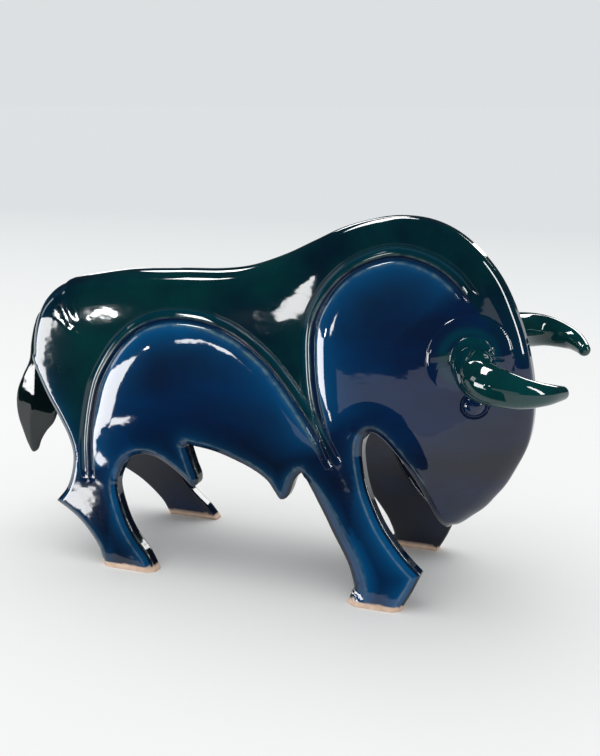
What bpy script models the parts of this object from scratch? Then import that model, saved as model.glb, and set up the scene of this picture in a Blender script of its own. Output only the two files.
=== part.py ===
"""A stylised ceramic bull: two leaning flanks cast in one, with horns, eyes and a leaf tail."""
import math

import bmesh
import bpy
import numpy as np
from mathutils import Vector, kdtree
from mathutils.geometry import delaunay_2d_cdt

# Driving sizes, in metres
LENGTH = 0.486          # tail leaf to horn tips
FOOT_SPREAD = 0.1376    # outside of the left feet to outside of the right feet
WALL = 0.014            # thickness of a leg and of the flank's lower edge
LEAN = 0.20             # how far a flank comes in for each unit of height
BROW_HALF = 0.012       # half thickness of the head along its front ridge
BOW_DEPTH = 0.110       # how far behind the front ridge the head has its full width
RIDGE_HALF = 0.0040     # half width left flat along the back and the crest
RIDGE_ROUND = 0.012     # rounding of the back, the crest and the front of the head
EDGE_BEVEL = 0.0055     # bevel of the legs, the arches and the belly
EDGE_DROP = 0.0045      # depth of that bevel
INNER_ROUND = 0.0020    # rounding of the inside edge of a leg
VAULT = 0.010           # rounding of the roof between the flanks
GROOVE_WIDE = 0.0068    # outer carved channel, edge to edge
GROOVE_NARROW = 0.0046  # inner carved channel
GROOVE_RIB = 0.0016     # rib left between the two channels
GROOVE_DEPTH = 0.0026
GROOVE_RUN_OUT = 0.007  # length in which a channel comes up to the surface at its end
LOBE_RISE = 0.0022      # how far haunch and shoulder stand above their channels
LOBE_ROUND = 0.009      # how far from the channel the lobe reaches that height
HAUNCH_SWELL = (0.0026, 0.016)      # height of the haunch's swell, and how far in it is reached
SHOULDER_SWELL = (0.0012, 0.009)
BACK_ROUND = 0.0036     # how much the flank comes in towards the back
BACK_REACH = 0.062      # how far down from the back that begins
BROW_RADIUS = 0.030     # disc that carries the horn
BROW_RISE = 0.0048
EYE_RADIUS = 0.0080
EYE_RISE = 0.0072
EYE_RING = 0.0024       # width of the ring sunk round the eye
EYE_RING_DEPTH = 0.0014
HORN_RADIUS = 0.0155    # at its root
HORN_TIP_RADIUS = 0.0050
HORN_TAPER = 1.9        # 1 for an even taper, more for a horn that stays thick
TAIL_EDGE_HALF = 0.0018
TAIL_CREASE = 0.30      # how fast the tail thickens from its edge to its crease

# Size of the facets
OUTLINE_STEP = 0.0085
ROW_STEP = 0.0095
GRID_STEP = 0.0160
TAIL_STEP = 0.0072
GRID_CLEAR = 0.62       # share of a grid step that stays free round the rows of points
TAIL_CLEAR = 0.67
HORN_SIDES = 14
CLOSEST_ON_EDGE = 0.0016
CLOSEST_ON_GROOVE = 0.0011
CLOSEST_ON_DISC = 0.0009
EDGE_ROWS = (0.35, 1.0)             # rows of points along the edge, as shares of its bevel
DISC_ROWS = (0.7, 0.985, 1.02)      # rings of points on the brow disc, as shares of its radius
DISC_POINTS = 22
EYE_ROWS = (0.0, 0.55, 0.9, 1.0)
EYE_RING_ROWS = (0.5, 1.0)
EYE_POINTS = 14
ROOF_ROWS = (0.3, 1.0)              # rows of points under the roof, as shares of its rounding
TIP_TURNS = (25, 50, 75)            # rings of points round a horn's tip, in degrees
BEVEL_SOFT = 0.35                   # share of a bevel in which it starts
WELD = 1e-6

# The outlines below are in millimetres for a bull 486 mm long, and follow its length.
# x runs from the heel of the hind foot towards the head, z is height.
TAIL_BACK_X = -125.0
HORN_TIP_X = 361.0
MIDDLE_X = 0.5 * (TAIL_BACK_X + HORN_TIP_X)
UNIT = LENGTH / (HORN_TIP_X - TAIL_BACK_X)

GLAZE = (0.004, 0.035, 0.075, 1.0)

# Each outline point is x, z, how much of a rounded ridge the edge is, and its bevel's share.
# Stretches are smooth and meet at corners.
HIND_FOOT_REAR = [(-5, 0, 0, 1), (-10, 12, 0, 1), (-19, 23, 0, 1), (-30, 33, 0, 1), (-41, 40, 0, 1),
                  (-53, 46, 0, 1)]
REAR = [(-53, 46, 0, 1), (-44, 58, 0, 1), (-40, 72, 0, 1), (-40, 86, 0, 1), (-45, 99, 0, 1),
        (-54, 113, 0, 1), (-68, 132, 0, 1), (-79, 150, 0, 1), (-84, 167, 0.04, 1.2),
        (-85, 184, 0.15, 1.4), (-83, 198, 0.34, 1.5), (-77, 211, 0.58, 1.4), (-64, 222, 0.82, 1.2),
        (-40, 230, 1, 1), (-4, 236, 1, 1), (40, 239, 1, 1), (80, 241, 1, 1), (104, 245, 1, 1),
        (132, 255, 1, 1), (157, 267, 1, 1), (180, 278, 1, 1), (203, 285, 1, 1), (224, 288, 1, 1),
        (247, 286, 1, 1), (267, 278, 1, 1), (285, 264, 1, 1), (301, 245, 1, 1), (313, 222, 1, 1),
        (322, 198, 1, 1), (328, 172, 1, 1), (330, 148, 1, 1), (327, 122, 1, 1), (317, 98, 1, 1),
        (303, 76, 0.9, 1), (288, 61, 0.6, 1), (274, 53, 0.2, 1), (265, 60, 0, 1), (260, 74, 0, 1),
        (253, 90, 0, 1), (243, 106, 0, 1), (233, 118, 0, 1), (223, 127, 0, 1), (215, 130, 0, 1),
        (210, 125, 0, 1), (209, 115, 0, 1), (211, 102, 0, 1), (215, 88, 0, 1), (221, 75, 0, 1),
        (230, 60, 0, 1), (240, 48, 0, 1), (250, 38, 0, 1), (261, 29, 0, 1)]
FRONT_TOE = [(261, 29, 0, 1), (255, 15, 0, 1), (247, 0, 0, 1)]
FRONT_SOLE = [(247, 0, 0, 1), (205, 0, 0, 1)]
BELLY = [(205, 0, 0, 1.4), (208, 9, 0, 1.8), (208, 18, 0, 2), (205, 26, 0, 2), (200, 35, 0, 2),
         (192, 47, 0, 2), (184, 60, 0, 1.9), (177, 71, 0, 1.7), (170, 82, 0, 1.4), (164, 90, 0, 1.1),
         (159, 91, 0, 1), (156, 86, 0, 1), (154, 79, 0, 1), (151, 73, 0, 1), (146, 71, 0, 1),
         (141, 76, 0, 1), (134, 84, 0, 1), (122, 91, 0, 1), (106, 97, 0, 1), (88, 102, 0, 1),
         (64, 105, 0, 1)]
SPIKE = [(64, 105, 0, 1), (67, 98, 0, 1), (71, 89, 0, 1), (75, 81, 0, 1), (75, 75, 0, 1),
         (71, 72, 0, 1), (66, 75, 0, 1), (58, 81, 0, 1), (48, 87, 0, 1), (37, 92, 0, 1), (26, 93, 0, 1),
         (16, 90, 0, 1), (9, 84, 0, 1), (5, 76, 0, 1), (3, 67, 0, 1), (5, 58, 0, 1), (9, 48, 0, 1),
         (14, 38, 0, 1), (20, 29, 0, 1), (27, 21, 0, 1), (34, 14, 0, 1), (39, 7, 0, 1), (43, 0, 0, 1)]
HIND_SOLE = [(43, 0, 0, 1), (-5, 0, 0, 1)]
ROOF = [(212, 128), (196, 122), (165, 118), (115, 118), (65, 115), (20, 112), (-20, 108), (-46, 101)]
HAUNCH_RIB = [(-22, 69), (-25, 100), (-23, 130), (-19, 149), (-12, 164), (-2, 179), (13, 193),
              (30, 201), (50, 204), (70, 203), (88, 199), (105, 192), (128, 177), (141, 165),
              (155, 150), (169, 133), (181, 116), (190, 102)]
SHOULDER_RIB = [(190, 103), (180, 122), (172, 143), (167, 162), (164, 182), (163, 199), (165, 213),
                (172, 228), (183, 242), (196, 252), (210, 258), (224, 261), (240, 259), (256, 253),
                (270, 243), (282, 229)]
TAIL = [(-70, 196), (-86, 199), (-96, 193), (-102, 181), (-106, 166), (-109, 150), (-117, 135),
        (-123, 122), (-125, 110), (-124, 97), (-120, 84), (-116, 73), (-111, 65), (-106, 68),
        (-102, 77), (-96, 86), (-88, 95), (-83, 107), (-82, 121), (-86, 135), (-92, 147),
        (-90, 160), (-70, 170)]
HORN = [(283, -6, 190), (287, -30, 190), (291, -50, 191), (296, -67, 192), (303, -84, 190),
        (312, -94, 189), (322, -98, 188), (333, -97, 186), (345, -89, 184), (353, -76, 182), (356, -69, 181)]
VALLEY = [(198, 86), (206, 68), (216, 45), (228, 15)]
BULGES = [(200, 150, 80, 80, 0.0040)]
BULGE_FADE = 0.020      # metres from the edge in which a bulge grows to its full height
BODY_TO_HUMP = (120, 190)
HAUNCH_FRONT = (25, 80)
SHOULDER_FRONT = (175, 215)
LEG_TO_LOBE = (75, 135)
HAUNCH_TO_HEAD = (190, 220)
BARREL_TO_SHOULDER = (150, 170)
SHOULDER_TO_BROW = (242, 292)
BROW = (284, 190)
EYE = (290, 155)
HEAD_MIDDLE = (230, 160)
HEAD_REACH = 100
HEAD_HEIGHT = 125
NOTCH = (212, 128)
NOTCH_LINE = (258, 40)


def place(points):
    """Outline points in metres, with the object's middle at x = 0; other columns stay as they are."""
    p = np.array(points, float)
    p[:, 0] -= MIDDLE_X
    p[:, :2] *= UNIT
    return p


def curve(points, step, closed=False):
    """Points about one step apart along a smooth curve through the given ones."""
    p = np.array(points, float)
    ends = (p[-1:], p[:2]) if closed else (2 * p[:1] - p[1:2], 2 * p[-1:] - p[-2:-1])
    p = np.vstack([ends[0], p, ends[1]])
    found = []
    for a, b, c, d in zip(p[:-3], p[1:-2], p[2:-1], p[3:]):
        count = max(1, round(np.linalg.norm(c[:2] - b[:2]) / step))
        t = np.arange(count)[:, None] / count
        ab, bc, cd = (max(np.linalg.norm(v), 1e-9) ** 0.5 for v in (b - a, c - b, d - c))
        leave = bc * ((b - a) / ab - (c - a) / (ab + bc) + (c - b) / bc)
        arrive = bc * ((c - b) / bc - (d - b) / (bc + cd) + (d - c) / cd)
        found.append((2 * t**3 - 3 * t**2 + 1) * b + (t**3 - 2 * t**2 + t) * leave
                     + (3 * t**2 - 2 * t**3) * c + (t**3 - t**2) * arrive)
    if not closed:
        found.append(p[-2:-1])
    return np.vstack(found)


def nearest(points, line):
    """Distance of each point to a line, the side it is on, the way along, and the line's values."""
    points = np.atleast_2d(points)[:, :2]
    a = line[:-1, :2]
    along = line[1:, :2] - a
    size = np.maximum((along**2).sum(1), 1e-16)
    way = np.concatenate([[0.0], np.cumsum(np.sqrt(size))])
    found = []
    for part in np.array_split(points, len(points) // 2000 + 1):
        off = part[:, None] - a[None]
        t = np.clip((off * along).sum(2) / size, 0, 1)
        gap = off - t[..., None] * along
        best = (gap**2).sum(2).argmin(1)
        row = np.arange(len(part))
        t = t[row, best]
        gap = gap[row, best]
        side = np.sign(along[best, 0] * gap[:, 1] - along[best, 1] * gap[:, 0])
        values = line[best, 2:] * (1 - t[:, None]) + line[best + 1, 2:] * t[:, None]
        run = way[best] + t * (way[best + 1] - way[best])
        found.append(np.column_stack([np.hypot(gap[:, 0], gap[:, 1]), side, run, values]))
    return np.vstack(found)


def inside(points, ring):
    """Which points lie within a closed outline."""
    x, z = points[:, :1], points[:, 1:2]
    a, b = ring[:, :2], np.roll(ring[:, :2], -1, axis=0)
    spans = (a[:, 1] > z) != (b[:, 1] > z)
    height = np.where(b[:, 1] == a[:, 1], 1e-12, b[:, 1] - a[:, 1])
    cross = a[:, 0] + (z - a[:, 1]) / height * (b[:, 0] - a[:, 0])
    return (spans & (x < cross)).sum(1) % 2 == 1


def ease(t):
    """A smooth step from 0 to 1."""
    t = np.clip(t, 0, 1)
    return t * t * (3 - 2 * t)


def ramp(value, ends):
    """A smooth step that rises from the first of two values to the second."""
    return ease((value - ends[0]) / (ends[1] - ends[0]))


def bevel(t):
    """A flat bevel with a softened start, 0 to 1."""
    t = np.clip(t, 0, 1)
    start = t * t / (2 * BEVEL_SOFT)
    return np.where(t < BEVEL_SOFT, start, t - BEVEL_SOFT / 2) / (1 - BEVEL_SOFT / 2)


def quarter(t):
    """A quarter round, 0 to 1."""
    return 1 - np.sqrt(1 - np.clip(t, 0, 1) ** 2)


def outline(step):
    """The closed outline of a flank, one row per point."""
    rows = []
    for stretch in (HIND_FOOT_REAR, REAR, FRONT_TOE, FRONT_SOLE, BELLY, SPIKE, HIND_SOLE):
        rows.append(curve(place(stretch), step)[:-1])
    return np.vstack(rows)


def flank(x, z):
    """Half width of the leaning flank, drawn in towards the front ridge of the head."""
    wide = FOOT_SPREAD / 2 - LEAN * z
    middle, notch, chin = place([HEAD_MIDDLE, NOTCH, NOTCH_LINE])
    rise = np.clip((z - middle[1]) / (HEAD_HEIGHT * UNIT), -1, 1)
    front = middle[0] + HEAD_REACH * UNIT * np.sqrt(1 - rise**2)
    back = np.clip((front - x) / BOW_DEPTH, 0, 1)
    side = (chin[0] - notch[0]) * (z - notch[1]) - (chin[1] - notch[1]) * (x - notch[0])
    back = np.where((z < notch[1]) & (side < 0), 1.0, back)
    brow = np.minimum(wide, BROW_HALF)
    return brow + (wide - brow) * np.sin(math.pi / 2 * back)


def worked_edge(points):
    """Distance to the nearest edge that isn't a sole, and its values there."""
    outer, inner = [np.vstack([curve(place(s), OUTLINE_STEP) for s in way])
                    for way in ((HIND_FOOT_REAR, REAR, FRONT_TOE), (BELLY, SPIKE))]
    outer, inner = nearest(points, outer), nearest(points, inner)
    return np.where(outer[:, :1] < inner[:, :1], outer, inner)


def channels(points, rib, valley):
    """Depth carved by the channels along a rib, the rise of the lobe, and the way inside its valley."""
    gap, side, run = nearest(points, rib).T[:3]
    end = nearest(rib[-1:], rib)[0, 2]
    side_gap = gap * side
    live = ease(np.minimum(run, end - run) / GROOVE_RUN_OUT)
    outer = (side_gap - GROOVE_RIB / 2 - GROOVE_WIDE / 2) / (GROOVE_WIDE / 2)
    inner = (-side_gap - GROOVE_RIB / 2 - GROOVE_NARROW / 2) / (GROOVE_NARROW / 2)
    depth = live * GROOVE_DEPTH * np.maximum(np.clip(1 - outer**2, 0, 1), np.clip(1 - inner**2, 0, 1))
    gap, side = nearest(points, valley).T[:2]
    within = np.maximum(-gap * side - GROOVE_RIB / 2 - GROOVE_NARROW, 0)
    return depth, LOBE_RISE * (1 - np.exp(-within / (LOBE_ROUND / 2))), within


def relief(points, haunch, shoulder):
    """Half width of the finished flank at each point of the side view."""
    x, z = points[:, 0], points[:, 1]
    plain = flank(x, z)
    gap, _, _, ridge, share = worked_edge(points).T
    y = plain.copy()
    fade = ease((gap - EDGE_BEVEL) / BULGE_FADE)
    for cx, cz, sx, sz, rise in BULGES:
        c = place([(cx, cz)])[0]
        r = ((x - c[0]) / (sx * UNIT)) ** 2 + ((z - c[1]) / (sz * UNIT)) ** 2
        y += rise * np.exp(-r) * fade
    mm_x, mm_z = x / UNIT + MIDDLE_X, z / UNIT
    near_back = np.clip(1 - gap / BACK_REACH, 0, 1) * ridge * (1 - ramp(mm_x, BODY_TO_HUMP))
    y -= BACK_ROUND * near_back**2
    grow = ramp(mm_z, LEG_TO_LOBE)
    haunch_valley = curve(place(HAUNCH_RIB + VALLEY), ROW_STEP)
    shoulder_valley = curve(place(VALLEY[::-1] + SHOULDER_RIB), ROW_STEP)
    cut_a, rise_a, within_a = channels(points, haunch, haunch_valley)
    cut_b, rise_b, within_b = channels(points, shoulder, shoulder_valley)
    for (rise, reach), within, front in ((HAUNCH_SWELL, within_a, HAUNCH_FRONT),
                                         (SHOULDER_SWELL, within_b, SHOULDER_FRONT)):
        y += grow * rise * (1 - np.exp(-within / reach)) * (1 - ramp(mm_x, front))
    y += grow * rise_a * (1 - ramp(mm_x, HAUNCH_TO_HEAD))
    y += grow * rise_b * ramp(mm_x, BARREL_TO_SHOULDER) * (1 - ramp(mm_x, SHOULDER_TO_BROW))
    y -= np.maximum(cut_a, cut_b)
    brow, eye = place([BROW, EYE])
    r = np.hypot(x - brow[0], z - brow[1]) / BROW_RADIUS
    y += BROW_RISE * np.sqrt(np.clip(1 - r**2, 0, 1)) * ease((z - brow[1] + BROW_RADIUS) / BROW_RADIUS)
    r = np.hypot(x - eye[0], z - eye[1])
    y += EYE_RISE * np.sqrt(np.clip(1 - (r / EYE_RADIUS) ** 2, 0, 1))
    ring = (r - EYE_RADIUS) / EYE_RING
    y -= EYE_RING_DEPTH * np.where((ring > 0) & (ring < 1), np.sin(np.pi * np.clip(ring, 0, 1)), 0)
    y -= (1 - ridge) * EDGE_DROP * np.sqrt(share) * bevel(1 - gap / (EDGE_BEVEL * share))
    y -= ridge * np.maximum(plain - RIDGE_HALF, 0) * quarter(1 - gap / RIDGE_ROUND)
    return y


def hollow(points, edge, roof):
    """Half width of the space between the flanks."""
    x, z = points[:, 0], points[:, 1]
    gap = nearest(points, edge)[:, 0]
    under = nearest(points, roof)[:, 0]
    vault = np.sqrt(1 - (1 - np.clip(under / VAULT, 0, 1)) ** 2)
    return (FOOT_SPREAD / 2 - LEAN * z - WALL + INNER_ROUND * bevel(1 - gap / INNER_ROUND)) * vault


def shift(line, offset):
    """A line moved sideways, to its left if offset is positive."""
    way = np.gradient(line[:, :2], axis=0)
    way /= np.maximum(np.linalg.norm(way, axis=1, keepdims=True), 1e-12)
    return line[:, :2] + np.column_stack([-way[:, 1], way[:, 0]]) * np.reshape(offset, (-1, 1))


def keep_clear(points, taken, gap):
    """The points that stay a gap away from those taken already, and from each other."""
    tree = kdtree.KDTree(len(taken))
    for i, p in enumerate(taken):
        tree.insert((p[0], p[1], 0), i)
    tree.balance()
    free = [p for p in points if tree.find((p[0], p[1], 0))[2] > gap]
    kept = []
    for p in free:
        if all((p[0] - q[0]) ** 2 + (p[1] - q[1]) ** 2 > (0.6 * gap) ** 2 for q in kept[-40:]):
            kept.append(p)
    return np.array(kept).reshape(-1, 2)


def grid(ring, step):
    """Points of a triangular grid within an outline."""
    low, high = ring[:, :2].min(0), ring[:, :2].max(0)
    rows = []
    for j, z in enumerate(np.arange(low[1], high[1], step * 0.87)):
        x = np.arange(low[0] + step / 2 * (j % 2), high[0], step)
        rows.append(np.column_stack([x, np.full_like(x, z)]))
    points = np.vstack(rows)
    return points[inside(points, ring)]


def fill(ring, loose):
    """Triangles over a closed outline and the loose points in it; the outline's points come first."""
    points = np.vstack([ring[:, :2], loose])
    count = len(ring)
    made = delaunay_2d_cdt([Vector(p) for p in points], [], [list(range(count))], 1, 1e-7, True)
    where = {}
    for new, old in enumerate(made[3]):
        for i in old:
            where[i] = new
    order = [where[i] for i in range(count)]
    rest = [i for i in range(len(made[0])) if i not in set(order)]
    rank = {new: i for i, new in enumerate(order + rest)}
    flat = np.array([tuple(made[0][i]) for i in order + rest])
    faces = np.array([[rank[i] for i in face] for face in made[2]])
    return flat, faces[inside(flat[faces].mean(1), ring)].tolist()


def flank_points(edge, haunch, shoulder):
    """Loose points over a flank: along its edge, its channels, its brow and eye, and between them."""
    closed = np.vstack([edge, edge[:1]])
    width = (1 - edge[:, 2]) * EDGE_BEVEL * edge[:, 3] + edge[:, 2] * RIDGE_ROUND
    turn = 1 if inside(shift(edge[:3], 0.001)[1:2], edge)[0] else -1
    taken = edge[:, :2]
    for share in EDGE_ROWS:
        ring = shift(closed, np.append(width, width[:1]) * share * turn)[:-1]
        true_gap = nearest(ring, closed)[:, 0]
        ring = ring[(true_gap > 0.9 * share * width) & inside(ring, edge)]
        taken = np.vstack([taken, keep_clear(ring, taken, CLOSEST_ON_EDGE)])
    half = GROOVE_RIB / 2
    for rib in (haunch, shoulder):
        for offset in (half, -half, half + GROOVE_WIDE / 2, half + GROOVE_WIDE, -half - GROOVE_NARROW / 2,
                       -half - GROOVE_NARROW, -half - GROOVE_NARROW - LOBE_ROUND):
            row = shift(rib, offset)
            taken = np.vstack([taken, keep_clear(row[inside(row, edge)], taken, CLOSEST_ON_GROOVE)])
    eye_radii = [EYE_RADIUS * s for s in EYE_ROWS] + [EYE_RADIUS + EYE_RING * s for s in EYE_RING_ROWS]
    for centre, radii, count in ((BROW, [BROW_RADIUS * s for s in DISC_ROWS], DISC_POINTS),
                                 (EYE, eye_radii, EYE_POINTS)):
        c = place([centre])[0]
        for radius in radii:
            turns = np.arange(count if radius else 1) / count * 2 * np.pi
            ring = c + radius * np.column_stack([np.cos(turns), np.sin(turns)])
            taken = np.vstack([taken, keep_clear(ring[inside(ring, edge)], taken, CLOSEST_ON_DISC)])
    spread = keep_clear(grid(edge, GRID_STEP), taken, GRID_CLEAR * GRID_STEP)
    return np.vstack([taken, spread])[len(edge):]


def solid(name, points, faces):
    """An object from points and faces, made of glazed clay."""
    mesh = bpy.data.meshes.new(name)
    mesh.from_pydata([tuple(p) for p in points], [], faces)
    shape = bmesh.new()
    shape.from_mesh(mesh)
    bmesh.ops.remove_doubles(shape, verts=shape.verts, dist=WELD)
    bmesh.ops.triangulate(shape, faces=shape.faces)
    bmesh.ops.recalc_face_normals(shape, faces=shape.faces)
    shape.to_mesh(mesh)
    shape.free()
    thing = bpy.data.objects.new(name, mesh)
    bpy.context.scene.collection.objects.link(thing)
    return thing


def make_body():
    """Both flanks, joined along the back and the head and hollow between the legs."""
    edge = outline(OUTLINE_STEP)
    closed = np.vstack([edge, edge[:1]])
    haunch = curve(place(HAUNCH_RIB), ROW_STEP)
    shoulder = curve(place(SHOULDER_RIB), ROW_STEP)
    flat, faces = fill(edge, flank_points(edge, haunch, shoulder))
    half = relief(flat, haunch, shoulder)
    points = [(x, -y, z) for (x, z), y in zip(flat, half)]

    ends = place([ROOF[0], ROOF[-1]])
    start, stop = (int(np.hypot(*(edge[:, :2] - e).T).argmin()) for e in ends)
    count = len(edge)
    legs = [(start + i) % count for i in range((stop - start) % count + 1)]
    way = place(ROOF)
    way[0], way[-1] = edge[start, :2], edge[stop, :2]
    roof = curve(way, OUTLINE_STEP)
    ring = np.vstack([edge[legs, :2], roof[-2:0:-1]])
    near_roof = [shift(roof, -s * VAULT)[1:-1] for s in ROOF_ROWS]
    near_edge = shift(edge[legs], -INNER_ROUND)
    taken = ring
    for row in near_roof + [near_edge]:
        row = row[inside(row, ring)]
        taken = np.vstack([taken, keep_clear(row, taken, CLOSEST_ON_EDGE)])
    spread = keep_clear(grid(ring, GRID_STEP), taken, GRID_CLEAR * GRID_STEP)
    inner_flat, inner_faces = fill(ring, np.vstack([taken[len(ring):], spread]))
    inner_half = hollow(inner_flat, closed, roof)
    inner_half[len(legs) - 1:len(ring)] = 0.0
    inner_half[0] = 0.0

    base = len(points)
    points += [(x, -y, z) for (x, z), y in zip(inner_flat, inner_half)]
    faces = faces + [[base + i for i in face] for face in inner_faces]
    across = {}
    for rank, i in enumerate(legs):
        across[i] = base + rank
    for i in range(count):
        if i not in across:
            across[i] = len(points)
            points.append((edge[i, 0], 0.0, edge[i, 1]))
    for i in range(count):
        j = (i + 1) % count
        faces.append([i, j, across[j], across[i]])
    other = len(points)
    points += [(x, -y, z) for x, y, z in points]
    faces += [[other + i for i in reversed(face)] for face in faces]
    return solid("bull", points, faces)


def make_tail():
    """The leaf tail, thickest along its crease."""
    edge = curve(place(TAIL), OUTLINE_STEP, closed=True)
    closed = np.vstack([edge, edge[:1]])
    flat, faces = fill(edge, keep_clear(grid(edge, TAIL_STEP), edge, TAIL_CLEAR * TAIL_STEP))
    half = TAIL_EDGE_HALF + TAIL_CREASE * nearest(flat, closed)[:, 0]
    count = len(flat)
    points = [(x, -y, z) for (x, z), y in zip(flat, half)] + [(x, y, z) for (x, z), y in zip(flat, half)]
    faces = faces + [[count + i for i in reversed(face)] for face in faces]
    faces += [[i, (i + 1) % len(edge), count + (i + 1) % len(edge), count + i] for i in range(len(edge))]
    return solid("tail_leaf", points, faces)


def make_horn(side):
    """A horn that leaves the brow sideways and bends forward; side is -1 for the right horn."""
    path = np.array(HORN, float)
    path[:, 0] -= MIDDLE_X
    path *= UNIT
    path[:, 1] *= -side
    path = curve(path[:, [0, 2, 1]], OUTLINE_STEP)[:, [0, 2, 1]]
    way = np.gradient(path, axis=0)
    way /= np.linalg.norm(way, axis=1, keepdims=True)
    share = np.linspace(0, 1, len(path))
    radii = HORN_TIP_RADIUS + (HORN_RADIUS - HORN_TIP_RADIUS) * (1 - share**HORN_TAPER)
    steps = np.radians(TIP_TURNS)
    tip = path[-1] + np.outer(np.sin(steps) * HORN_TIP_RADIUS, way[-1])
    path = np.vstack([path, tip])
    way = np.vstack([way, np.repeat(way[-1:], len(steps), axis=0)])
    radii = np.concatenate([radii, HORN_TIP_RADIUS * np.cos(steps)])
    points, faces = [], []
    for centre, along, radius in zip(path, way, radii):
        up = np.array([0, 0, 1.0]) - along[2] * along
        up /= np.linalg.norm(up)
        out = np.cross(along, up)
        for k in range(HORN_SIDES):
            turn = 2 * math.pi * k / HORN_SIDES
            points.append(centre + radius * (math.cos(turn) * up + math.sin(turn) * out))
    for i in range(len(path) - 1):
        for k in range(HORN_SIDES):
            a, b = i * HORN_SIDES + k, i * HORN_SIDES + (k + 1) % HORN_SIDES
            faces.append([a, b, b + HORN_SIDES, a + HORN_SIDES])
    faces.append(list(range(HORN_SIDES)))
    faces.append([(len(path) - 1) * HORN_SIDES + k for k in range(HORN_SIDES)])
    return solid("horn_form", points, faces)


def join(body, limb):
    """Fuses a limb to the body; the limb stays behind as a guide."""
    cut = body.modifiers.new(limb.name, "BOOLEAN")
    cut.operation = "UNION"
    cut.object = limb
    limb.hide_render = True
    limb.display_type = "WIRE"


def glaze():
    """Glossy dark blue glaze."""
    material = bpy.data.materials.new("blue_glaze")
    material.use_nodes = True
    shader = material.node_tree.nodes["Principled BSDF"]
    shader.inputs["Base Color"].default_value = GLAZE
    shader.inputs["Roughness"].default_value = 0.08
    shader.inputs["Metallic"].default_value = 0.0
    return material


for thing in list(bpy.data.objects):
    bpy.data.objects.remove(thing)
bull = make_body()
bull.data.materials.append(glaze())
for limb in (make_tail(), make_horn(-1), make_horn(1)):
    join(bull, limb)
bull.data.shade_smooth()
bull.data.set_sharp_from_angle(angle=math.radians(40))
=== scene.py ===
import math

import bmesh
import bpy
import numpy as np
from mathutils import Matrix, Vector, kdtree
from mathutils.geometry import delaunay_2d_cdt


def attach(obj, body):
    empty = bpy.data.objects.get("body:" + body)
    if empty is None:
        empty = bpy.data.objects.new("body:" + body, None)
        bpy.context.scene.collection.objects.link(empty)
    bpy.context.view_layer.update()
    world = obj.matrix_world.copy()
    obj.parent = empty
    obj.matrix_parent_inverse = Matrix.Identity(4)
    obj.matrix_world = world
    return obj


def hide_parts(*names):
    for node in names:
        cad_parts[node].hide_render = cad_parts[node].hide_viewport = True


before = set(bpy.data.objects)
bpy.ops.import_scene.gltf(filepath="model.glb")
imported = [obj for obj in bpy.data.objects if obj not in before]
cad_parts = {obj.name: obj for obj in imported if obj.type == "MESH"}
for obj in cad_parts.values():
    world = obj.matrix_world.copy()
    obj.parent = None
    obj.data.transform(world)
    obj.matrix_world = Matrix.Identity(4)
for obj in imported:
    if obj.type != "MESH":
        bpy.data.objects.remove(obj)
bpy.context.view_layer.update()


# The slab flanks: both sides of the bull are a thick slab of clay that leans inwards,
# joined along the back and the head. The outline is cut first, in millimetres: x runs from
# the heel of the hind foot to the head, z up. Then how much the edge is a ridge, and its bevel.
MIDDLE_X = 118.0
HIND_FOOT_REAR = [(-5, 0, 0, 1), (-10, 12, 0, 1), (-19, 23, 0, 1), (-30, 33, 0, 1), (-41, 40, 0, 1),
                  (-53, 46, 0, 1)]
REAR = [(-53, 46, 0, 1), (-44, 58, 0, 1), (-40, 72, 0, 1), (-40, 86, 0, 1), (-45, 99, 0, 1),
        (-54, 113, 0, 1), (-68, 132, 0, 1), (-79, 150, 0, 1), (-84, 167, 0.04, 1.2),
        (-85, 184, 0.15, 1.4), (-83, 198, 0.34, 1.5), (-77, 211, 0.58, 1.4), (-64, 222, 0.82, 1.2),
        (-40, 230, 1, 1), (-4, 236, 1, 1), (40, 239, 1, 1), (80, 241, 1, 1), (104, 245, 1, 1),
        (132, 255, 1, 1), (157, 267, 1, 1), (180, 278, 1, 1), (203, 285, 1, 1), (224, 288, 1, 1),
        (247, 286, 1, 1), (267, 278, 1, 1), (285, 264, 1, 1), (301, 245, 1, 1), (313, 222, 1, 1),
        (322, 198, 1, 1), (328, 172, 1, 1), (330, 148, 1, 1), (327, 122, 1, 1), (317, 98, 1, 1),
        (303, 76, 0.9, 1), (288, 61, 0.6, 1), (274, 53, 0.2, 1), (265, 60, 0, 1), (260, 74, 0, 1),
        (253, 90, 0, 1), (243, 106, 0, 1), (233, 118, 0, 1), (223, 127, 0, 1), (215, 130, 0, 1),
        (210, 125, 0, 1), (209, 115, 0, 1), (211, 102, 0, 1), (215, 88, 0, 1), (221, 75, 0, 1),
        (230, 60, 0, 1), (240, 48, 0, 1), (250, 38, 0, 1), (261, 29, 0, 1)]
FRONT_TOE = [(261, 29, 0, 1), (255, 15, 0, 1), (247, 0, 0, 1)]
FRONT_SOLE = [(247, 0, 0, 1), (205, 0, 0, 1)]
BELLY = [(205, 0, 0, 1.4), (208, 9, 0, 1.8), (208, 18, 0, 2), (205, 26, 0, 2), (200, 35, 0, 2),
         (192, 47, 0, 2), (184, 60, 0, 1.9), (177, 71, 0, 1.7), (170, 82, 0, 1.4), (164, 90, 0, 1.1),
         (159, 91, 0, 1), (156, 86, 0, 1), (154, 79, 0, 1), (151, 73, 0, 1), (146, 71, 0, 1),
         (141, 76, 0, 1), (134, 84, 0, 1), (122, 91, 0, 1), (106, 97, 0, 1), (88, 102, 0, 1),
         (64, 105, 0, 1)]
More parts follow.
